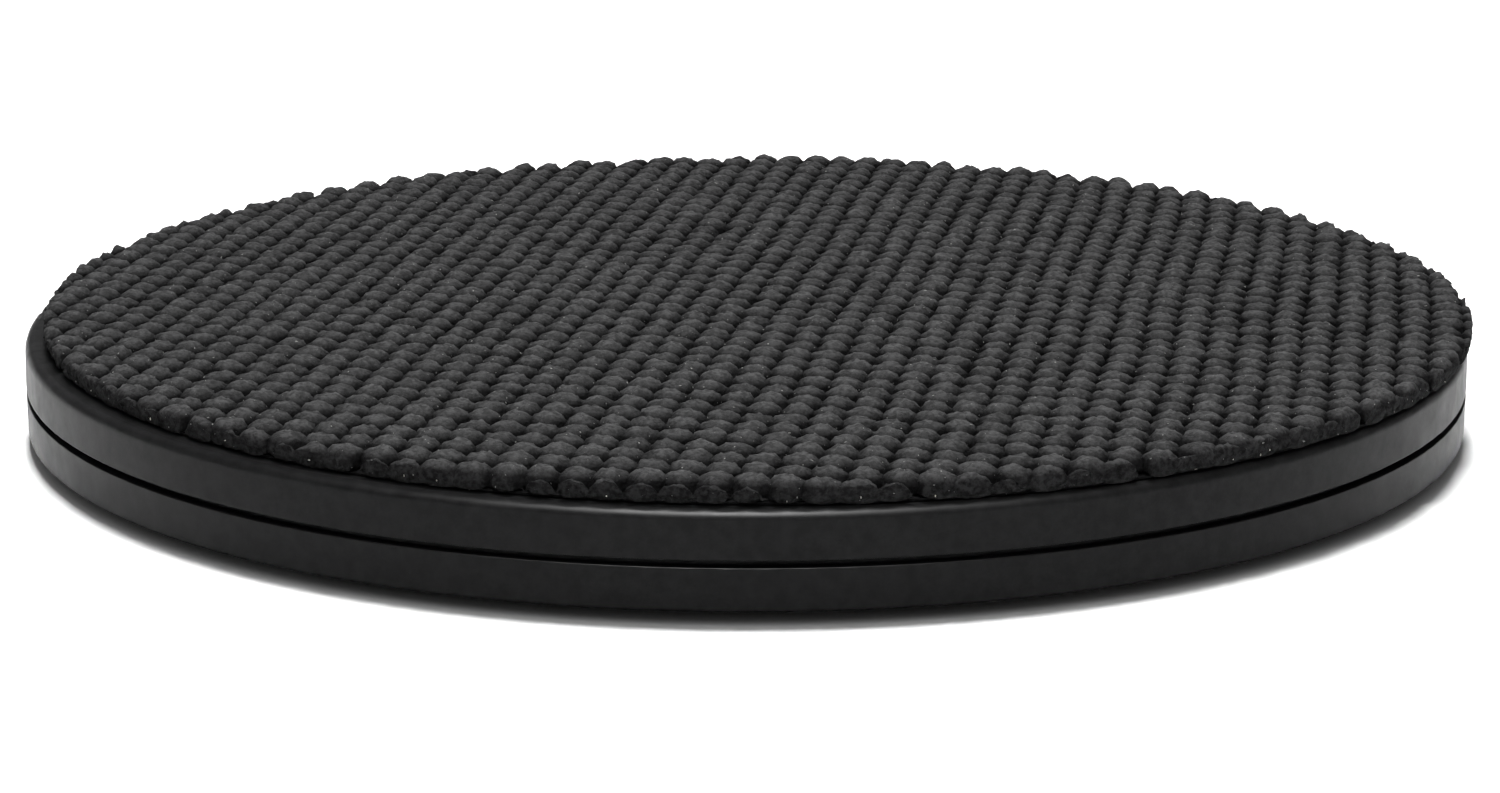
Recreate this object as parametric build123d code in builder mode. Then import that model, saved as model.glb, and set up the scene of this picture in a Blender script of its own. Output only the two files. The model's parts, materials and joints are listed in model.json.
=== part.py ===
"""Rotating disc for physiotherapy: two moulded discs on a ball bearing, with a grip mat on top.

Origin at the bottom centre, on the plane that the rubber feet stand on, +Z up. Millimetres.
"""

from build123d import *
from math import cos, radians, sin, tan
import os

os.makedirs("parts", exist_ok=True)

# ---------------------------------------------------------------- driving dimensions
DISC_R = 152.4  # both discs are 12 in across
FOOT_DROP = 2.0  # feet stand this far below the lower disc
LOWER_H = 8.5
RIM_GAP = 1.4  # open gap between the two rims
UPPER_H = 9.3
ADHESIVE_T = 0.2
MAT_T = 4.8
MAT_R = 149.9
ADHESIVE_MARGIN = 1.0  # the film is cut this much smaller than the mat
MAT_SHIFT_X = 2.35  # the mat is stuck down slightly off centre
MAT_SHIFT_Y = 0.7

PLATE_T = 2.4  # floor of the lower disc and deck of the upper disc
DRAFT = 1.0  # degrees, mould draft of the rims
LOWER_RIM_IN_R = 148.8
LIP_OUT_R = 150.2  # dust lip on the lower rim, inside the upper skirt
LIP_TOP_RISE = 2.7
SKIRT_IN_R = 150.8  # upper skirt where it passes the dust lip
SKIRT_STEP_RISE = 2.3
UPPER_RIM_IN_R = 149.6
UPPER_TOP_FILLET = 2.0
LOWER_BOTTOM_FILLET = 1.0
GAP_EDGE_FILLET = 0.2

BALL_R = 3.0
BALL_COUNT = 36
BALL_CIRCLE_R = 115.0
BALL_PLAY = 0.1  # between a ball and each groove's bottom
GROOVE_R = 3.3
RACE_T = 3.0
RACE_IN_R = 104.5
RACE_OUT_R = 121.5
RACE_MOUTH = 3.2  # distance between the two races
SEAT_MARGIN = 1.0  # race seat is wider than the race by this on each side
CAGE_T = 2.0
CAGE_HALF_WIDTH = 4.2
POCKET_R = 3.2

RACE_SCREW_COUNT = 8
RACE_SCREW_CIRCLE_R = 108.5
SCREW_R = 1.4
SCREW_HOLE_R = 1.6
SCREW_HEAD_R = 2.8
SCREW_HEAD_H = 1.4
SCREW_HEAD_CLEAR = 0.05
SCREW_SINK = 0.1  # head sits below the race's face
SCREW_LENGTH = 5.6
SCREW_SOCKET_FLATS = 2.0
SCREW_SOCKET_DEPTH = 0.8
PILOT_DEPTH = 3.2

RIB_T = 1.6
RIB_H = 4.0
INNER_RIB_COUNT = 12
OUTER_RIB_COUNT = 24
RING_RIB_R = 60.0

HUB_R = 14.0
LOWER_HUB_TOP = 12.6
UPPER_HUB_BOTTOM = 14.6
BOLT_R = 3.0
BOLT_BORE_R = 3.1
BOLT_FLATS = 10.0
BOLT_HEAD_H = 3.3
BOLT_RECESS_DEPTH = 3.7
BOLT_RECESS_FLATS = 10.3
BOLT_LENGTH = 14.0
BOLT_TIP_CHAMFER = 0.5
BUSH_R = 4.5
BUSH_BORE_R = 3.05  # running fit on the bolt
BUSH_FLANGE_R = 8.0
BUSH_FLANGE_T = 1.0
THRUST_WASHER_R = 9.0
THRUST_WASHER_T = 0.9
NUT_RECESS_R = 8.5
NUT_RECESS_TOP = 8.6
NUT_WASHER_R = 6.2
NUT_WASHER_T = 0.9
NUT_PLAY = 0.1  # lets the washer turn under the hub
NUT_H = 3.8
NUT_INSERT_R = 4.3
NUT_INSERT_H = 1.1
CAP_STEP_R = 9.5
CAP_STEP_DEPTH = 1.0
CAP_CLEAR = 0.1
CAP_SKIRT_H = 2.4
CAP_SKIRT_T = 1.2

FOOT_COUNT = 6
FOOT_CIRCLE_R = 136.0
FOOT_START_ANGLE = 7.5  # degrees, halfway between two outer ribs
FOOT_R = 8.0
FOOT_RECESS_DEPTH = 1.0
FOOT_RECESS_CLEAR = 0.2
FOOT_STEM_R = 2.5
FOOT_HOLE_R = 2.6
FOOT_BOSS_R = 7.0
FOOT_BOSS_H = 1.0
FOOT_BARB_R = 3.1
FOOT_BARB_TIP_R = 1.8
FOOT_BARB_H = 2.0
FOOT_EDGE_FILLET = 0.6

# ---------------------------------------------------------------- heights
LOWER_BOTTOM = FOOT_DROP
LOWER_TOP = LOWER_BOTTOM + LOWER_H
UPPER_BOTTOM = LOWER_TOP + RIM_GAP
DECK_TOP = UPPER_BOTTOM + UPPER_H
FLOOR_TOP = LOWER_BOTTOM + PLATE_T
DECK_UNDER = DECK_TOP - PLATE_T
BALL_Z = (LOWER_TOP + UPPER_BOTTOM) / 2
LOWER_RACE_TOP = BALL_Z - RACE_MOUTH / 2
UPPER_RACE_BOTTOM = BALL_Z + RACE_MOUTH / 2
LOWER_SEAT_TOP = LOWER_RACE_TOP - RACE_T
UPPER_SEAT_BOTTOM = UPPER_RACE_BOTTOM + RACE_T
GROOVE_OFFSET = GROOVE_R - BALL_R - BALL_PLAY  # of the groove's centre from the balls' plane
BOLT_HEAD_Z = DECK_TOP - BOLT_RECESS_DEPTH
NUT_WASHER_Z = NUT_RECESS_TOP - NUT_PLAY - NUT_WASHER_T
NUT_Z = NUT_WASHER_Z - NUT_H
CAP_TOP = LOWER_BOTTOM + CAP_STEP_DEPTH
FOOT_SEAT_Z = LOWER_BOTTOM + FOOT_RECESS_DEPTH
FOOT_BOSS_TOP = FLOOR_TOP + FOOT_BOSS_H


def write(piece, label):
    """Label a finished piece and write its STEP file."""
    piece.part.label = label
    export_step(piece.part, f"parts/{label}.step")


def ring_at(height, outer_r, inner_r, amount, mode=Mode.ADD):
    """Extrude a flat ring from the given height inside the current part."""
    with BuildSketch(Plane.XY.offset(height)) as outline:
        Circle(outer_r)
        if inner_r > 0:
            Circle(inner_r, mode=Mode.SUBTRACT)
    extrude(outline.sketch, amount=amount, mode=mode)


def radial_ribs(height, from_r, to_r, count, amount):
    """Extrude evenly spaced radial ribs from the given height inside the current part."""
    with BuildSketch(Plane.XY.offset(height)) as outline:
        with PolarLocations((from_r + to_r) / 2, count):
            Rectangle(to_r - from_r, RIB_T)
    extrude(outline.sketch, amount=amount)


def ribs_and_seat(plate_face, seat_face, up):
    """Race seat, radial ribs and ring rib that stand on a disc's inner face; up is +1 or -1."""
    ring_at(
        plate_face,
        RACE_OUT_R + SEAT_MARGIN,
        RACE_IN_R - SEAT_MARGIN,
        seat_face - plate_face,
    )
    radial_ribs(plate_face, HUB_R - 1, RACE_IN_R - SEAT_MARGIN, INNER_RIB_COUNT, up * RIB_H)
    radial_ribs(plate_face, RACE_OUT_R + SEAT_MARGIN, UPPER_RIM_IN_R, OUTER_RIB_COUNT, up * RIB_H)
    ring_at(plate_face, RING_RIB_R + RIB_T / 2, RING_RIB_R - RIB_T / 2, up * RIB_H)


def pilot_holes(seat_face, depth):
    """Blind holes for the race screws, drilled from the seat's face."""
    with BuildSketch(Plane.XY.offset(seat_face)) as outline:
        with PolarLocations(RACE_SCREW_CIRCLE_R, RACE_SCREW_COUNT):
            Circle(SCREW_R)
    extrude(outline.sketch, amount=depth, mode=Mode.SUBTRACT)


# ---------------------------------------------------------------- lower disc
LOWER_FOOT_R = DISC_R - LOWER_H * tan(radians(DRAFT))

with BuildPart() as lower_disc:
    with BuildSketch(Plane.YZ):
        with BuildLine():
            Polyline(
                (0, LOWER_BOTTOM),
                (LOWER_FOOT_R, LOWER_BOTTOM),
                (DISC_R, LOWER_TOP),
                (LIP_OUT_R, LOWER_TOP),
                (LIP_OUT_R, LOWER_TOP + LIP_TOP_RISE),
                (LOWER_RIM_IN_R, LOWER_TOP + LIP_TOP_RISE),
                (LOWER_RIM_IN_R, FLOOR_TOP),
                (0, FLOOR_TOP),
                close=True,
            )
        make_face()
    revolve(axis=Axis.Z)
    outer_edges = lower_disc.edges().filter_by(GeomType.CIRCLE)
    bottom_edge = outer_edges.group_by(Axis.Z)[0].sort_by(SortBy.RADIUS)[-1]
    fillet(bottom_edge, LOWER_BOTTOM_FILLET)
    top_edge = lower_disc.edges().filter_by(GeomType.CIRCLE).sort_by(SortBy.RADIUS)[-1]
    fillet(top_edge, GAP_EDGE_FILLET)
    ribs_and_seat(FLOOR_TOP, LOWER_SEAT_TOP, 1)
    ring_at(FLOOR_TOP, HUB_R, 0, LOWER_HUB_TOP - FLOOR_TOP)
    with BuildSketch(Plane.XY.offset(FLOOR_TOP)):
        with PolarLocations(FOOT_CIRCLE_R, FOOT_COUNT, start_angle=FOOT_START_ANGLE):
            Circle(FOOT_BOSS_R)
    extrude(amount=FOOT_BOSS_H)
    with BuildSketch(Plane.XY.offset(LOWER_BOTTOM)):
        with PolarLocations(FOOT_CIRCLE_R, FOOT_COUNT, start_angle=FOOT_START_ANGLE):
            Circle(FOOT_R + FOOT_RECESS_CLEAR)
    extrude(amount=FOOT_RECESS_DEPTH, mode=Mode.SUBTRACT)
    with BuildSketch(Plane.XY.offset(LOWER_BOTTOM)):
        with PolarLocations(FOOT_CIRCLE_R, FOOT_COUNT, start_angle=FOOT_START_ANGLE):
            Circle(FOOT_HOLE_R)
    extrude(amount=FOOT_BOSS_TOP - LOWER_BOTTOM, mode=Mode.SUBTRACT)
    pilot_holes(LOWER_SEAT_TOP, -PILOT_DEPTH)
    ring_at(LOWER_BOTTOM, BUSH_R, 0, LOWER_HUB_TOP - LOWER_BOTTOM, Mode.SUBTRACT)
    ring_at(LOWER_BOTTOM, NUT_RECESS_R, 0, NUT_RECESS_TOP - LOWER_BOTTOM, Mode.SUBTRACT)
    ring_at(LOWER_BOTTOM, CAP_STEP_R, 0, CAP_STEP_DEPTH, Mode.SUBTRACT)

# ---------------------------------------------------------------- upper disc
DECK_EDGE_R = DISC_R - UPPER_H * tan(radians(DRAFT))

with BuildPart() as upper_disc:
    with BuildSketch(Plane.YZ):
        with BuildLine():
            Polyline(
                (0, DECK_TOP),
                (DECK_EDGE_R, DECK_TOP),
                (DISC_R, UPPER_BOTTOM),
                (SKIRT_IN_R, UPPER_BOTTOM),
                (SKIRT_IN_R, UPPER_BOTTOM + SKIRT_STEP_RISE),
                (UPPER_RIM_IN_R, UPPER_BOTTOM + SKIRT_STEP_RISE),
                (UPPER_RIM_IN_R, DECK_UNDER),
                (0, DECK_UNDER),
                close=True,
            )
        make_face()
    revolve(axis=Axis.Z)
    outer_edges = upper_disc.edges().filter_by(GeomType.CIRCLE)
    deck_edge = outer_edges.group_by(Axis.Z)[-1].sort_by(SortBy.RADIUS)[-1]
    fillet(deck_edge, UPPER_TOP_FILLET)
    skirt_edge = upper_disc.edges().filter_by(GeomType.CIRCLE).sort_by(SortBy.RADIUS)[-1]
    fillet(skirt_edge, GAP_EDGE_FILLET)
    ribs_and_seat(DECK_UNDER, UPPER_SEAT_BOTTOM, -1)
    ring_at(DECK_UNDER, HUB_R, 0, UPPER_HUB_BOTTOM - DECK_UNDER)
    pilot_holes(UPPER_SEAT_BOTTOM, PILOT_DEPTH)
    ring_at(UPPER_HUB_BOTTOM, BOLT_BORE_R, 0, DECK_TOP - UPPER_HUB_BOTTOM, Mode.SUBTRACT)
    with BuildSketch(Plane.XY.offset(DECK_TOP)):
        RegularPolygon(BOLT_RECESS_FLATS / 2, 6, major_radius=False)
    extrude(amount=-BOLT_RECESS_DEPTH, mode=Mode.SUBTRACT)


# ---------------------------------------------------------------- ball bearing
with BuildPart() as lower_race:
    ring_at(LOWER_SEAT_TOP, RACE_OUT_R, RACE_IN_R, RACE_T)
    with BuildSketch(Plane.XZ):
        with Locations((BALL_CIRCLE_R, BALL_Z + GROOVE_OFFSET)):
            Circle(GROOVE_R)
    revolve(axis=Axis.Z, mode=Mode.SUBTRACT)
    with Locations((0, 0, LOWER_RACE_TOP)):
        with PolarLocations(RACE_SCREW_CIRCLE_R, RACE_SCREW_COUNT):
            CounterSinkHole(
                SCREW_HOLE_R,
                SCREW_HEAD_R + SCREW_SINK + SCREW_HEAD_CLEAR,
                depth=RACE_T,
                counter_sink_angle=90,
            )

with BuildPart() as upper_race:
    mirror(lower_race.part, about=Plane.XY.offset(BALL_Z))

SCREW_TOP = LOWER_RACE_TOP - SCREW_SINK

with BuildPart() as race_screw:
    with BuildSketch(Plane.XZ):
        with BuildLine():
            Polyline(
                (0, SCREW_TOP),
                (SCREW_HEAD_R, SCREW_TOP),
                (SCREW_R, SCREW_TOP - SCREW_HEAD_H),
                (SCREW_R, SCREW_TOP - SCREW_LENGTH + SCREW_R / 2),
                (SCREW_R / 2, SCREW_TOP - SCREW_LENGTH),
                (0, SCREW_TOP - SCREW_LENGTH),
                close=True,
            )
        make_face()
    revolve(axis=Axis.Z)
    with BuildSketch(Plane.XY.offset(SCREW_TOP)):
        RegularPolygon(SCREW_SOCKET_FLATS / 2, 6, major_radius=False)
    extrude(amount=-SCREW_SOCKET_DEPTH, mode=Mode.SUBTRACT)

with BuildPart() as lower_race_screws:
    with PolarLocations(RACE_SCREW_CIRCLE_R, RACE_SCREW_COUNT):
        add(race_screw.part)

with BuildPart() as upper_race_screws:
    mirror(lower_race_screws.part, about=Plane.XY.offset(BALL_Z))

with BuildPart() as bearing_balls:
    with Locations((0, 0, BALL_Z)):
        with PolarLocations(BALL_CIRCLE_R, BALL_COUNT):
            Sphere(BALL_R)

with BuildPart() as ball_cage:
    ring_at(
        BALL_Z - CAGE_T / 2,
        BALL_CIRCLE_R + CAGE_HALF_WIDTH,
        BALL_CIRCLE_R - CAGE_HALF_WIDTH,
        CAGE_T,
    )
    with BuildSketch(Plane.XY.offset(BALL_Z - CAGE_T / 2)):
        with PolarLocations(BALL_CIRCLE_R, BALL_COUNT):
            Circle(POCKET_R)
    extrude(amount=CAGE_T, mode=Mode.SUBTRACT)

# ---------------------------------------------------------------- centre pivot
with BuildPart() as pivot_bolt:
    with BuildSketch(Plane.XY.offset(BOLT_HEAD_Z)):
        RegularPolygon(BOLT_FLATS / 2, 6, major_radius=False)
    extrude(amount=BOLT_HEAD_H)
    ring_at(BOLT_HEAD_Z, BOLT_R, 0, -BOLT_LENGTH)
    chamfer(pivot_bolt.edges().filter_by(GeomType.CIRCLE).sort_by(Axis.Z)[0], BOLT_TIP_CHAMFER)

with BuildPart() as thrust_washer:
    ring_at(UPPER_HUB_BOTTOM, THRUST_WASHER_R, BOLT_BORE_R, -THRUST_WASHER_T)

with BuildPart() as pivot_bush:
    ring_at(NUT_RECESS_TOP, BUSH_R, BUSH_BORE_R, LOWER_HUB_TOP - NUT_RECESS_TOP)
    ring_at(LOWER_HUB_TOP, BUSH_FLANGE_R, BUSH_BORE_R, BUSH_FLANGE_T)

with BuildPart() as nut_washer:
    ring_at(NUT_WASHER_Z, NUT_WASHER_R, BOLT_BORE_R, NUT_WASHER_T)

with BuildPart() as lock_nut:
    with BuildSketch(Plane.XY.offset(NUT_Z)):
        RegularPolygon(BOLT_FLATS / 2, 6, major_radius=False)
    extrude(amount=NUT_H)
    ring_at(NUT_Z, BOLT_R, 0, NUT_H, Mode.SUBTRACT)
    ring_at(NUT_Z, NUT_INSERT_R, 0, NUT_INSERT_H, Mode.SUBTRACT)

with BuildPart() as lock_nut_insert:
    ring_at(NUT_Z, NUT_INSERT_R, BOLT_R, NUT_INSERT_H)

with BuildPart() as pivot_cap:
    ring_at(CAP_TOP, CAP_STEP_R - CAP_CLEAR, 0, CAP_CLEAR - CAP_STEP_DEPTH)
    ring_at(CAP_TOP, NUT_RECESS_R - CAP_CLEAR, NUT_RECESS_R - CAP_CLEAR - CAP_SKIRT_T, CAP_SKIRT_H)

# ---------------------------------------------------------------- grip mat
MAT_PLANE = Plane((MAT_SHIFT_X, MAT_SHIFT_Y, DECK_TOP))

with BuildPart() as mat_adhesive:
    with BuildSketch(MAT_PLANE):
        Circle(MAT_R - ADHESIVE_MARGIN)
    extrude(amount=ADHESIVE_T)

with BuildPart() as grip_mat:
    with BuildSketch(MAT_PLANE.offset(ADHESIVE_T)):
        Circle(MAT_R)
    extrude(amount=MAT_T)

# ---------------------------------------------------------------- rubber feet
with BuildPart() as foot:
    ring_at(0, FOOT_R, 0, FOOT_SEAT_Z)
    fillet(foot.edges().filter_by(GeomType.CIRCLE).sort_by(Axis.Z)[0], FOOT_EDGE_FILLET)
    ring_at(FOOT_SEAT_Z, FOOT_STEM_R, 0, FOOT_BOSS_TOP - FOOT_SEAT_Z)
    with Locations((0, 0, FOOT_BOSS_TOP + FOOT_BARB_H / 2)):
        Cone(FOOT_BARB_R, FOOT_BARB_TIP_R, FOOT_BARB_H)

rubber_feet = []
for number in range(FOOT_COUNT):
    turn = FOOT_START_ANGLE + number * 360 / FOOT_COUNT
    place = (FOOT_CIRCLE_R * cos(radians(turn)), FOOT_CIRCLE_R * sin(radians(turn)), 0)
    with BuildPart() as rubber_foot:
        with Locations(place):
            add(foot.part)
    rubber_feet.append(rubber_foot)

# ---------------------------------------------------------------- files
pieces = {
    "lower_disc": lower_disc,
    "upper_disc": upper_disc,
    "lower_race": lower_race,
    "upper_race": upper_race,
    "lower_race_screws": lower_race_screws,
    "upper_race_screws": upper_race_screws,
    "bearing_balls": bearing_balls,
    "ball_cage": ball_cage,
    "pivot_bolt": pivot_bolt,
    "thrust_washer": thrust_washer,
    "pivot_bush": pivot_bush,
    "nut_washer": nut_washer,
    "lock_nut": lock_nut,
    "lock_nut_insert": lock_nut_insert,
    "pivot_cap": pivot_cap,
    "mat_adhesive": mat_adhesive,
    "grip_mat": grip_mat,
}
for number, rubber_foot in enumerate(rubber_feet, start=1):
    pieces[f"rubber_foot_{number}"] = rubber_foot
for label, piece in pieces.items():
    write(piece, label)
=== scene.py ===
import json
import math

import bpy
import numpy as np
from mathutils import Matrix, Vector


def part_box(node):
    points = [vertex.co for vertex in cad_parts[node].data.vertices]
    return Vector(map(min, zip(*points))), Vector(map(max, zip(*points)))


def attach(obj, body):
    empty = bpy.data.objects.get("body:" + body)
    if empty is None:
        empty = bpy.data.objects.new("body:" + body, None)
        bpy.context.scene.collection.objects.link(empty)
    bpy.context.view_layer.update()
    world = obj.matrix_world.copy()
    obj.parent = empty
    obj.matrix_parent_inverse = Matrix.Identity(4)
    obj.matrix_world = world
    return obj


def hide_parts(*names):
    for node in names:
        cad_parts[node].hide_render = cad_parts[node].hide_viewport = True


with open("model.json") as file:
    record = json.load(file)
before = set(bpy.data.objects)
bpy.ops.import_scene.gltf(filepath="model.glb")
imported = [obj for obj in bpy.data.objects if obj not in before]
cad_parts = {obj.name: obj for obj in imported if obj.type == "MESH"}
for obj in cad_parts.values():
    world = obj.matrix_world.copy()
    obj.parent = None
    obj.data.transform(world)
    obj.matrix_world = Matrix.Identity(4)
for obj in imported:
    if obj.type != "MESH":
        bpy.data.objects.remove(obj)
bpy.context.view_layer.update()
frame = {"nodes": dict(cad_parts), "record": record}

MM = 0.001
nodes = frame["nodes"]
slot_of = {entry["node"]: entry["material_slot"] for entry in frame["record"]["subparts"]}

FOAM_PROUD = 0.9 * MM  # the foam spreads this much past its cut size

# ------------------------------------------------------------------ places read from the frame
mat_low, mat_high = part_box("grip_mat")
MAT_CENTRE = np.array((mat_low + mat_high)[:2]) / 2
MAT_R = (mat_high.y - mat_low.y) / 2 + FOAM_PROUD
MAT_Z = mat_low.z
MAT_T = mat_high.z - mat_low.z
rim_gap_z = (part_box("ball_cage")[0].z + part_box("ball_cage")[1].z) / 2

# ------------------------------------------------------------------ the foam mat's own sizes
KNOB_PITCH = np.array((6.44, 7.2)) * MM  # across a row and along a column
LATTICE_TURN = math.radians(9.3)  # columns lean this far from +Y towards +X
ACROSS = np.array((math.cos(LATTICE_TURN), -math.sin(LATTICE_TURN)))
ALONG = np.array((math.sin(LATTICE_TURN), math.cos(LATTICE_TURN)))
LATTICE_START = np.array((1.45, -146.0)) * MM
KNOB_HALF = np.array((4.2, 4.25)) * MM  # more than half the pitch, so knobs run into each other
KNOB_STRETCH = 0.3 * MM  # they run into each other more towards the back
KNOB_EQUATOR = 1.4 * MM  # height at which a knob is widest
PLAN_POWER = 1.5  # a knob is a rounded diamond in plan
DOME_POWER = 2.15
CUT_REACH = 2.8 * MM  # a knob centred further than this outside the cut is lost
CUT_UNDERCUT = 0.5 * MM  # the cut wall leans in this far at the bottom
CUT_PRESS_R = 1.5 * MM  # the die presses the foam down this far in from the cut
CUT_PRESS = 0.9 * MM  # at the front; it fades to nothing towards the back
PINCH_AT = np.array((-5.9, 66.7)) * MM  # one knob is pinched
PINCH_R = 2.6 * MM
PINCH_DEPTH = 1.6 * MM
YARN_Z = 1.25 * MM  # height of the scrim's yarns in the foam
YARN_R = 0.12 * MM
YARN_SUNK = 0.08 * MM  # depth of a yarn's end in the cut wall
YARN_SHARE = 0.55  # share of the yarns whose cut ends show
WEB_T = 0.4 * MM  # foam-coated scrim that joins the knobs underneath
WEB_INSET = 1.0 * MM  # the web stops this far inside the cut
WEB_LIFT = 0.05 * MM
KNOB_LIFT = 0.02 * MM  # foam stays this far above the glue
EDGE_BAND = 4.6 * MM  # knobs centred closer to the cut than this get the finest mesh
FRONT_BAND, NEAR_BAND, FAR_BAND = -0.55, -0.2, 0.25  # mesh gets coarser here, in mat radii from the centre


# ------------------------------------------------------------------ materials
def new_material(name):
    """A node material with its Principled shader and object coordinates."""
    made = bpy.data.materials.new(name)
    made.use_nodes = True
    tree = made.node_tree
    shader = tree.nodes["Principled BSDF"]
    place = tree.nodes.new("ShaderNodeTexCoord").outputs["Object"]
    return made, tree, shader, place


def noise_value(tree, place, scale, detail=3.0, rough=0.55):
    """Noise of a given scale, in features per metre."""
    made = tree.nodes.new("ShaderNodeTexNoise")
    made.inputs["Scale"].default_value = scale
    made.inputs["Detail"].default_value = detail
    made.inputs["Roughness"].default_value = rough
    tree.links.new(place, made.inputs["Vector"])
    return made.outputs["Fac"]


def mapped(tree, value, low, high, to_low, to_high):
    """A value moved from one range to another and kept inside it."""
    made = tree.nodes.new("ShaderNodeMapRange")
    made.inputs["From Min"].default_value = low
    made.inputs["From Max"].default_value = high
    made.inputs["To Min"].default_value = to_low
    made.inputs["To Max"].default_value = to_high
    tree.links.new(value, made.inputs["Value"])
    return made.outputs["Result"]


def blended(tree, factor, colour_a, colour_b):
    """Colour a to colour b by a factor; either colour may be a socket."""
    made = tree.nodes.new("ShaderNodeMix")
    made.data_type = "RGBA"
    tree.links.new(factor, made.inputs["Factor"])
    for socket, colour in ((made.inputs[6], colour_a), (made.inputs[7], colour_b)):
        if isinstance(colour, tuple):
            socket.default_value = (*colour, 1.0)
        else:
            tree.links.new(colour, socket)
    return made.outputs[2]


def bumped(tree, height, distance, strength, below=None):
    """A bump from a height value, on top of an earlier bump if one is given."""
    made = tree.nodes.new("ShaderNodeBump")
    made.inputs["Strength"].default_value = strength
    made.inputs["Distance"].default_value = distance
    tree.links.new(height, made.inputs["Height"])
    if below is not None:
        tree.links.new(below, made.inputs["Normal"])
    return made.outputs["Normal"]


def moulded_plastic(name, dark, light, rough, specular, grain=0.02 * MM):
    """Satin moulded plastic: fine spark-eroded grain, faint flow marks, rubbed patches."""
    made, tree, shader, place = new_material(name)
    flow = noise_value(tree, place, 38.0, 4.0)
    fine = noise_value(tree, place, 4200.0, 2.0)
    mottle = noise_value(tree, place, 350.0, 6.0, 0.75)
    patch = mapped(tree, mottle, 0.38, 0.62, 0.0, 1.0)
    tree.links.new(blended(tree, patch, dark, light), shader.inputs["Base Color"])
    rubbed = noise_value(tree, place, 160.0, 5.0)
    tree.links.new(
        mapped(tree, rubbed, 0.3, 0.7, rough - 0.05, rough + 0.06), shader.inputs["Roughness"]
    )
    shader.inputs["Specular IOR Level"].default_value = specular
    normal = bumped(tree, fine, grain, 0.5)
    tree.links.new(bumped(tree, flow, 0.05 * MM, 0.25, normal), shader.inputs["Normal"])
    return made


def scaled(tree, colour, factor):
    """A colour times a factor, both sockets."""
    made = tree.nodes.new("ShaderNodeVectorMath")
    made.operation = "SCALE"
    tree.links.new(colour, made.inputs["Vector"])
    tree.links.new(factor, made.inputs["Scale"])
    return made.outputs["Vector"]


def foam(name, pit_shade, top, torn, fleck):
    """PVC foam: grainy, with painted shade that darkens it low down between the knobs so their tops stay
    lighter, torn at the cut, a few light flecks.
    """
    made, tree, shader, place = new_material(name)
    height = tree.nodes.new("ShaderNodeSeparateXYZ")
    tree.links.new(place, height.inputs["Vector"])
    # Painted shade: the lower the foam lies between the knobs, the darker its colour, down to the pit colour.
    painted_shade_by_height = mapped(tree, height.outputs["Z"], MAT_Z + 0.66 * MAT_T, MAT_Z + 0.98 * MAT_T, 0.0, 1.0)
    flat = tree.nodes.new("ShaderNodeCombineXYZ")
    tree.links.new(height.outputs["X"], flat.inputs["X"])
    tree.links.new(height.outputs["Y"], flat.inputs["Y"])
    from_middle = tree.nodes.new("ShaderNodeVectorMath")
    from_middle.operation = "DISTANCE"
    from_middle.inputs[1].default_value = (*MAT_CENTRE, 0.0)
    tree.links.new(flat.outputs["Vector"], from_middle.inputs[0])
    at_cut = mapped(tree, from_middle.outputs["Value"], MAT_R - 0.9 * MM, MAT_R - 0.5 * MM, 0.0, 1.0)
    grain = noise_value(tree, place, 800.0, 4.0, 0.65)
    patch = noise_value(tree, place, 260.0, 3.0, 0.6)
    # Near the cut the low foam takes the torn colour in place of the painted pit shade.
    body = blended(tree, painted_shade_by_height, blended(tree, at_cut, pit_shade, torn), top)
    body = scaled(tree, body, mapped(tree, grain, 0.4, 0.6, 0.45, 1.55))
    body = scaled(tree, body, mapped(tree, patch, 0.3, 0.7, 0.8, 1.2))
    dust = mapped(tree, noise_value(tree, place, 1700.0, 0.0), 0.825, 0.865, 0.0, 1.0)
    tree.links.new(blended(tree, dust, body, fleck), shader.inputs["Base Color"])
    tree.links.new(mapped(tree, grain, 0.3, 0.7, 0.72, 0.9), shader.inputs["Roughness"])
    tree.links.new(mapped(tree, painted_shade_by_height, 0.0, 1.0, 0.02, 0.12), shader.inputs["Specular IOR Level"])
    cells = tree.nodes.new("ShaderNodeTexVoronoi")
    cells.inputs["Scale"].default_value = 1400.0
    tree.links.new(place, cells.inputs["Vector"])
    normal = bumped(tree, cells.outputs["Distance"], 0.25 * MM, 0.6)
    tree.links.new(bumped(tree, grain, 0.4 * MM, 0.7, normal), shader.inputs["Normal"])
    return made


def metal(name, dark, light, rough, stretch=(1.0, 1.0, 1.0)):
    """Metal with tool marks or handling marks in its colour, roughness and surface."""
    made, tree, shader, place = new_material(name)
    mapping = tree.nodes.new("ShaderNodeMapping")
    mapping.inputs["Scale"].default_value = stretch
    tree.links.new(place, mapping.inputs["Vector"])
    marks = noise_value(tree, mapping.outputs["Vector"], 900.0, 4.0, 0.6)
    tree.links.new(
        blended(tree, mapped(tree, marks, 0.3, 0.7, 0.0, 1.0), dark, light),
        shader.inputs["Base Color"],
    )
    tree.links.new(mapped(tree, marks, 0.3, 0.7, rough - 0.06, rough + 0.1), shader.inputs["Roughness"])
    shader.inputs["Metallic"].default_value = 1.0
    tree.links.new(bumped(tree, marks, 0.01 * MM, 0.3), shader.inputs["Normal"])
    return made


def rubber(name, dark, light):
    """Matt black rubber with a dusty bloom."""
    made, tree, shader, place = new_material(name)
    bloom = noise_value(tree, place, 420.0, 5.0, 0.6)
    tree.links.new(
        blended(tree, mapped(tree, bloom, 0.35, 0.7, 0.0, 1.0), dark, light),
        shader.inputs["Base Color"],
    )
    tree.links.new(mapped(tree, bloom, 0.3, 0.7, 0.65, 0.85), shader.inputs["Roughness"])
    shader.inputs["Specular IOR Level"].default_value = 0.3
    tree.links.new(bumped(tree, bloom, 0.04 * MM, 0.4), shader.inputs["Normal"])
    return made


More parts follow.
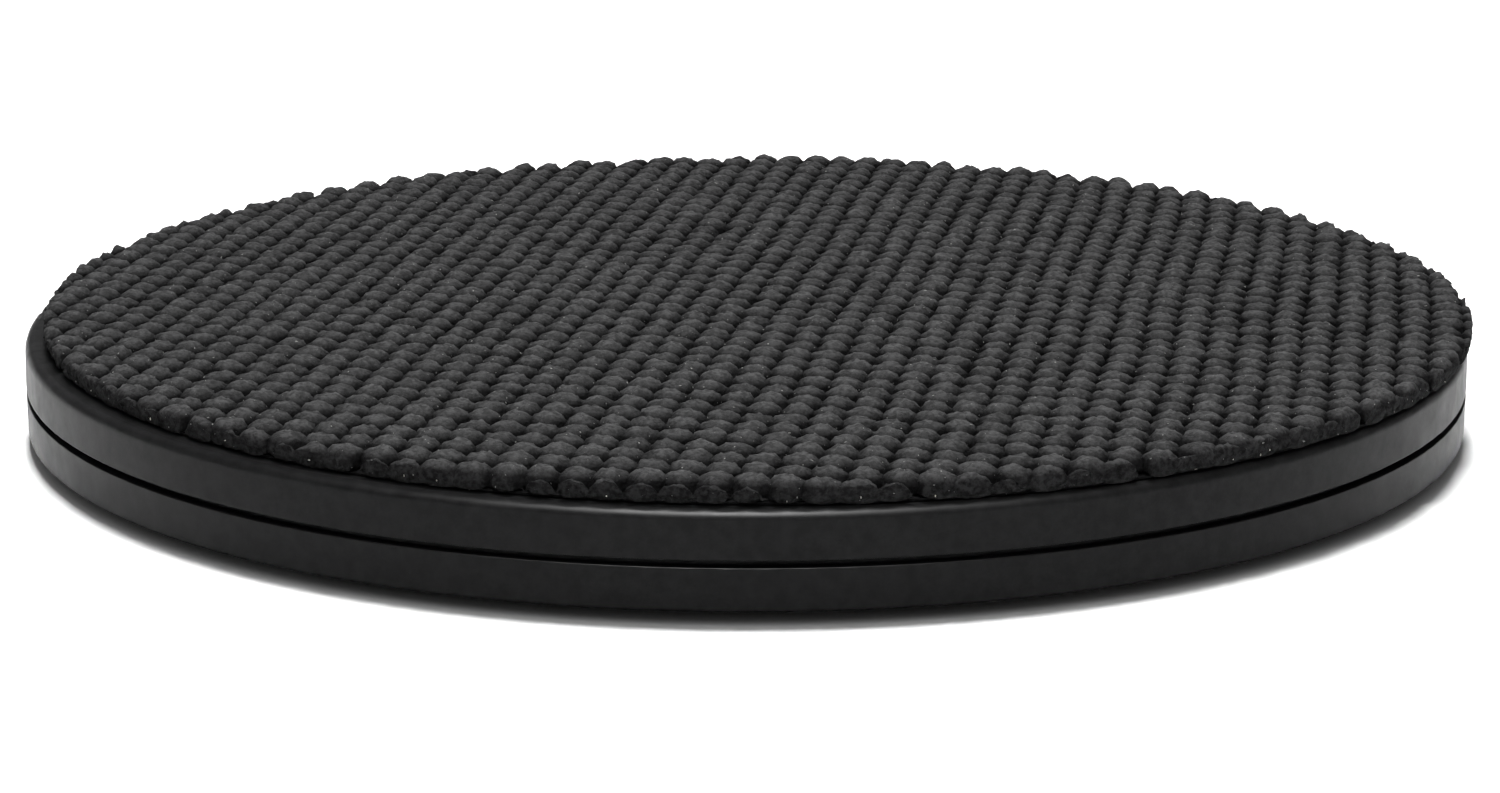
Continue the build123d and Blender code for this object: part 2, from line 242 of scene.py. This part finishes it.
materials = {
    "disc_plastic": moulded_plastic(
        "disc_plastic", (0.0055, 0.0055, 0.0057), (0.0105, 0.0105, 0.0108), 0.40, 0.07
    ),
    "nylon": moulded_plastic("nylon", (0.62, 0.60, 0.52), (0.72, 0.70, 0.62), 0.45, 0.5),
    "acetal": moulded_plastic("acetal", (0.70, 0.70, 0.68), (0.80, 0.80, 0.78), 0.35, 0.5),
    "adhesive_film": moulded_plastic(
        "adhesive_film", (0.008, 0.008, 0.008), (0.016, 0.016, 0.016), 0.55, 0.2
    ),
    "grip_foam": foam(
        "grip_foam",
        # The first colour is the painted shade low between the knobs.
        (0.0050, 0.0050, 0.0052),
        (0.0285, 0.0285, 0.0289),
        (0.0130, 0.0130, 0.0132),
        (0.18, 0.18, 0.175),
    ),
    "race_steel": metal("race_steel", (0.34, 0.34, 0.35), (0.52, 0.52, 0.53), 0.32),
    "ball_steel": metal("ball_steel", (0.62, 0.62, 0.64), (0.72, 0.72, 0.74), 0.12),
    "zinc_screw": metal("zinc_screw", (0.45, 0.46, 0.48), (0.62, 0.63, 0.65), 0.30),
    "bronze": metal("bronze", (0.34, 0.21, 0.09), (0.50, 0.33, 0.16), 0.38),
    "foot_rubber": rubber("foot_rubber", (0.008, 0.008, 0.008), (0.022, 0.022, 0.021)),
}
for name, node in nodes.items():
    node.data.materials.clear()
    node.data.materials.append(materials[slot_of[name]])


# ------------------------------------------------------------------ the grip mat
dice = np.random.default_rng(12)


def ripple(points, wavelength, waves=10):
    """A smooth random field at the points: three components, each about one in size."""
    total = np.zeros_like(points)
    for _ in range(waves):
        heading = dice.normal(size=3)
        heading *= 2 * math.pi / wavelength / np.linalg.norm(heading)
        total += np.sin((points @ heading)[:, None] + dice.uniform(0, 2 * math.pi, 3))
    return total * math.sqrt(2 / waves)


def knob_template(segments, rings):
    """Directions over a ball and its faces: a pole at each end and rings between."""
    directions = [(0.0, 0.0, 1.0)]
    for ring in range(1, rings):
        polar = math.pi * ring / rings
        for segment in range(segments):
            angle = 2 * math.pi * segment / segments
            directions.append(
                (math.sin(polar) * math.cos(angle), math.sin(polar) * math.sin(angle), math.cos(polar))
            )
    directions.append((0.0, 0.0, -1.0))
    last = len(directions) - 1
    faces = []
    for segment in range(segments):
        following = (segment + 1) % segments
        faces.append((0, 1 + segment, 1 + following))
        for ring in range(rings - 2):
            upper = 1 + ring * segments
            lower = upper + segments
            faces.append((upper + segment, lower + segment, lower + following, upper + following))
        base = 1 + (rings - 2) * segments
        faces.append((base + segment, last, base + following))
    return np.array(directions), faces


def rounded_box(directions):
    """The directions pushed out to a plump unit shape, a rounded diamond in plan and a dome in height."""
    size = np.abs(directions)
    plan = (size[:, 0] ** PLAN_POWER + size[:, 1] ** PLAN_POWER) ** (1 / PLAN_POWER)
    reach = (plan**DOME_POWER + size[:, 2] ** DOME_POWER) ** (1 / DOME_POWER)
    return directions / reach[:, None]


def lattice_points():
    """Knob centres that lie inside the cut, drifting a little as the foam was stretched."""
    found = []
    for row in range(-4, 48):
        for column in range(-32, 33):
            exact = LATTICE_START + column * KNOB_PITCH[0] * ACROSS + row * KNOB_PITCH[1] * ALONG
            x, y = exact / MM
            drift = (
                0.22 * math.sin(0.071 * x + 0.043 * y + 1.3) + 0.16 * math.sin(0.023 * x - 0.052 * y),
                0.25 * math.sin(0.039 * x - 0.067 * y + 0.4) + 0.20 * math.sin(0.058 * x + 0.018 * y),
            )
            place = exact - np.array(drift) * MM + dice.normal(0, 0.10 * MM, 2)
            if np.linalg.norm(place - MAT_CENTRE) < MAT_R + CUT_REACH:
                found.append(place)
    return np.array(found)


def trimmed(flat, height, centre, size, top):
    """Cut one knob at the die's slightly undercut wall: outside points move in to it, and down to the cut."""
    from_middle = flat - MAT_CENTRE
    reach = np.linalg.norm(from_middle, axis=1)
    wall = MAT_R - CUT_UNDERCUT * (1 - (KNOB_EQUATOR + height) / MAT_T) ** 2
    outside = reach > wall
    flat, height = flat.copy(), height.copy()
    flat[outside] = MAT_CENTRE + from_middle[outside] * (wall / reach)[outside, None]
    offset = flat[outside] - centre
    plan = np.abs(offset @ ACROSS / size[0]) ** PLAN_POWER + np.abs(offset @ ALONG / size[1]) ** PLAN_POWER
    crest = np.clip(1 - plan ** (DOME_POWER / PLAN_POWER), 0, 1) ** (1 / DOME_POWER)
    height[outside] = np.clip(height[outside], -KNOB_EQUATOR * crest, top * crest)
    return flat, height


def knobs_at(centres, template):
    """Points and faces of closed knobs at the given centres, cut where they pass the mat's edge."""
    directions, knob_faces = template
    unit = rounded_box(directions)
    points, faces = [], []
    for centre in centres:
        size = KNOB_HALF * dice.normal(1.0, 0.03, 2)
        size[1] += KNOB_STRETCH * (centre[1] + MAT_R) / (2 * MAT_R)
        top = MAT_T - KNOB_EQUATOR + dice.normal(-0.05 * MM, 0.14 * MM)
        lean = dice.normal(0, 0.05, 2)
        height = unit[:, 2] * np.where(unit[:, 2] > 0, top, KNOB_EQUATOR)
        local = unit[:, :2] * size + height[:, None] * lean
        flat = centre + local[:, :1] * ACROSS + local[:, 1:] * ALONG
        flat, height = trimmed(flat, height, centre, size, top)
        start = len(points) * len(unit)
        points.append(np.column_stack((flat, MAT_Z + KNOB_EQUATOR + height)))
        faces.extend(tuple(start + corner for corner in face) for face in knob_faces)
    return np.concatenate(points), faces


def weathered(points):
    """Wrinkle the foam's skin, pinch the dented knob, press the cut edge down and stay above the glue."""
    rough = 0.10 * MM * ripple(points, 4.5 * MM) + 0.10 * MM * ripple(points, 1.8 * MM)
    rough += 0.05 * MM * ripple(points, 0.9 * MM)
    height = (points[:, 2] - MAT_Z) / MAT_T
    moved = points + rough * np.clip(height * 4, 0, 1)[:, None]
    pinch = np.linalg.norm(points[:, :2] - PINCH_AT, axis=1) / PINCH_R
    moved[:, 2] -= PINCH_DEPTH * np.exp(-(pinch**2)) * np.clip(height, 0, 1)
    from_cut = MAT_R - np.linalg.norm(points[:, :2] - MAT_CENTRE, axis=1)
    pressed = np.clip(1 - from_cut / CUT_PRESS_R, 0, 1) ** 2 * np.clip(0.5 - points[:, 1] / MAT_R, 0, 1)
    moved[:, 2] -= CUT_PRESS * pressed * np.clip(height, 0, 1)
    moved[:, 2] = np.maximum(moved[:, 2], MAT_Z + KNOB_LIFT)
    return moved


def yarn_ends():
    """Where the cut leaves the end of a scrim yarn showing, with its direction out of the foam."""
    found = []
    for step_way, yarn_way, pitch in ((ACROSS, ALONG, KNOB_PITCH[0]), (ALONG, ACROSS, KNOB_PITCH[1])):
        first = (LATTICE_START - MAT_CENTRE) @ step_way
        for step in range(-40, 80):
            offset = first + step * pitch
            if abs(offset) > 0.99 * MAT_R:
                continue
            chord = math.sqrt(MAT_R**2 - offset**2)
            for reach in (-chord, chord):
                if dice.random() < YARN_SHARE:
                    found.append((offset * step_way + reach * yarn_way) / MAT_R)
    return found


def scrim_tufts(template):
    """Points and faces of the cut yarn ends that show low down on the mat's wall."""
    directions, tuft_faces = template
    points, faces = [], []
    for out in yarn_ends():
        along_wall = np.array((-out[1], out[0]))
        size = YARN_R * dice.lognormal(0.0, 0.5, 3)
        local = directions * size
        height = YARN_Z + dice.normal(0, 0.3 * MM)
        wall = MAT_R - CUT_UNDERCUT * (1 - height / MAT_T) ** 2 - YARN_SUNK
        flat = MAT_CENTRE + wall * out + local[:, :1] * along_wall + local[:, 1:2] * out
        start = len(points) * len(directions)
        points.append(np.column_stack((flat, MAT_Z + height + local[:, 2])))
        faces.extend(tuple(start + corner for corner in face) for face in tuft_faces)
    return np.concatenate(points), faces


def scrim_web():
    """Points and faces of the thin web under the knobs, which closes their pits below."""
    turns = np.linspace(0, 2 * math.pi, 360, endpoint=False)
    ring = MAT_CENTRE + (MAT_R - WEB_INSET) * np.column_stack((np.cos(turns), np.sin(turns)))
    below = np.column_stack((ring, np.full(len(ring), MAT_Z + WEB_LIFT)))
    above = below + (0, 0, WEB_T)
    start = len(ring)
    faces = [tuple(range(start - 1, -1, -1)), tuple(range(start, 2 * start))]
    for corner in range(start):
        after = (corner + 1) % start
        faces.append((corner, after, start + after, start + corner))
    return np.concatenate((below, above)), faces


def piece_from(name, points, faces, slot, body, sharp=None):
    """A mesh object that rides on a body and takes its finish from a slot."""
    mesh = bpy.data.meshes.new(name)
    mesh.from_pydata(points.tolist(), [], faces)
    mesh.update()
    mesh.shade_smooth()
    if sharp is not None:
        mesh.set_sharp_from_angle(angle=math.radians(sharp))
    mesh.materials.append(materials[slot])
    made = bpy.data.objects.new(name, mesh)
    bpy.context.scene.collection.objects.link(made)
    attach(made, body)
    return made


knob_centres = lattice_points()
edge_distance = MAT_R - np.linalg.norm(knob_centres - MAT_CENTRE, axis=1)
at_edge = edge_distance < EDGE_BAND
inner = knob_centres[~at_edge]
band = inner[:, 1] / MAT_R
mat_parts = {
    "grip_mat_edge": (knob_centres[at_edge], knob_template(28, 16)),
    "grip_mat_front": (inner[band < FRONT_BAND], knob_template(24, 16)),
    "grip_mat_near": (inner[(band >= FRONT_BAND) & (band < NEAR_BAND)], knob_template(20, 13)),
    "grip_mat_far": (inner[(band >= NEAR_BAND) & (band < FAR_BAND)], knob_template(18, 11)),
    "grip_mat_back": (inner[band >= FAR_BAND], knob_template(16, 11)),
}
for name, (centres, template) in mat_parts.items():
    points, faces = knobs_at(centres, template)
    points = weathered(points)
    part = piece_from(name, points, faces, "grip_foam", "top", sharp=70)
    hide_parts("grip_mat")

# The web lies low, so the foam material gives it the painted pit shade.
web = piece_from("grip_mat_web", *scrim_web(), "grip_foam", "top", sharp=30)
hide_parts("grip_mat")

tufts = piece_from("grip_mat_scrim", *scrim_tufts(knob_template(8, 6)), "nylon", "top")
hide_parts("grip_mat")

# ------------------------------------------------------------------ floor, light and camera
bpy.ops.mesh.primitive_plane_add(size=14.0, location=(0, 0, -0.0001))
floor = bpy.context.object
floor.name = "studio_floor"
floor_material, tree, shader, place = new_material("studio_floor")
shade = mapped(tree, noise_value(tree, place, 3.0, 2.0), 0.3, 0.7, 0.0, 1.0)
tree.links.new(blended(tree, shade, (0.88, 0.88, 0.88), (0.9, 0.9, 0.9)), shader.inputs["Base Color"])
shader.inputs["Roughness"].default_value = 0.9
shader.inputs["Specular IOR Level"].default_value = 0.1
floor.data.materials.append(floor_material)

scene = bpy.context.scene
scene.world = bpy.data.worlds.new("studio")
scene.world.use_nodes = True
background = scene.world.node_tree.nodes["Background"]
background.inputs["Color"].default_value = (1.0, 1.0, 1.0, 1.0)
background.inputs["Strength"].default_value = 0.2
scene.view_settings.view_transform = "Standard"


def aimed(thing, place, target):
    """Put an object at a place, looking at a target along its own -Z."""
    thing.location = place
    thing.rotation_euler = (Vector(target) - Vector(place)).to_track_quat("-Z", "Y").to_euler()
    scene.collection.objects.link(thing)


def softbox(name, place, target, width, height, power):
    """A rectangular area light."""
    lamp = bpy.data.lights.new(name, "AREA")
    lamp.shape = "RECTANGLE"
    lamp.size = width
    lamp.size_y = height
    lamp.energy = power
    made = bpy.data.objects.new(name, lamp)
    aimed(made, place, target)
    return made


def distant(name, place, power, width):
    """A soft distant light, its width in degrees, that leaves no gleam."""
    lamp = bpy.data.lights.new(name, "SUN")
    lamp.energy = power
    lamp.angle = math.radians(width)
    made = bpy.data.objects.new(name, lamp)
    aimed(made, place, (0, 0, 0))
    made.visible_glossy = False


distant("overhead", (0, 0.58, 3.0), 4.3, 10)
distant("behind", (-0.1, 2.6, 2.6), 3.6, 12)

# Seen only as a gleam on the deck's rounded edge.
gleam = softbox("deck_gleam", (-0.07, -0.73, 1.29), (0, -0.15, 0.02), 0.5, 0.9, 154.0)
gleam.visible_diffuse = False

# The camera looks down at the gap between the discs, from in front.
CAMERA_TILT = math.radians(14.47)
CAMERA_ROLL = math.radians(-0.115)
CAMERA_DISTANCE = 0.8594
CAMERA_SLIDE = 0.00035
CAMERA_DROP = 0.0081
lens = bpy.data.cameras.new("camera")
lens.sensor_width = 36.0
lens.lens = 96.0
lens.clip_start = 0.01
lens.clip_end = 50.0
camera = bpy.data.objects.new("camera", lens)
camera.rotation_euler = (math.pi / 2 - CAMERA_TILT, CAMERA_ROLL, 0)
camera.location = (
    CAMERA_SLIDE,
    -CAMERA_DISTANCE * math.cos(CAMERA_TILT) - CAMERA_DROP * math.sin(CAMERA_TILT),
    rim_gap_z + CAMERA_DISTANCE * math.sin(CAMERA_TILT) - CAMERA_DROP * math.cos(CAMERA_TILT),
)
scene.collection.objects.link(camera)
scene.camera = camera
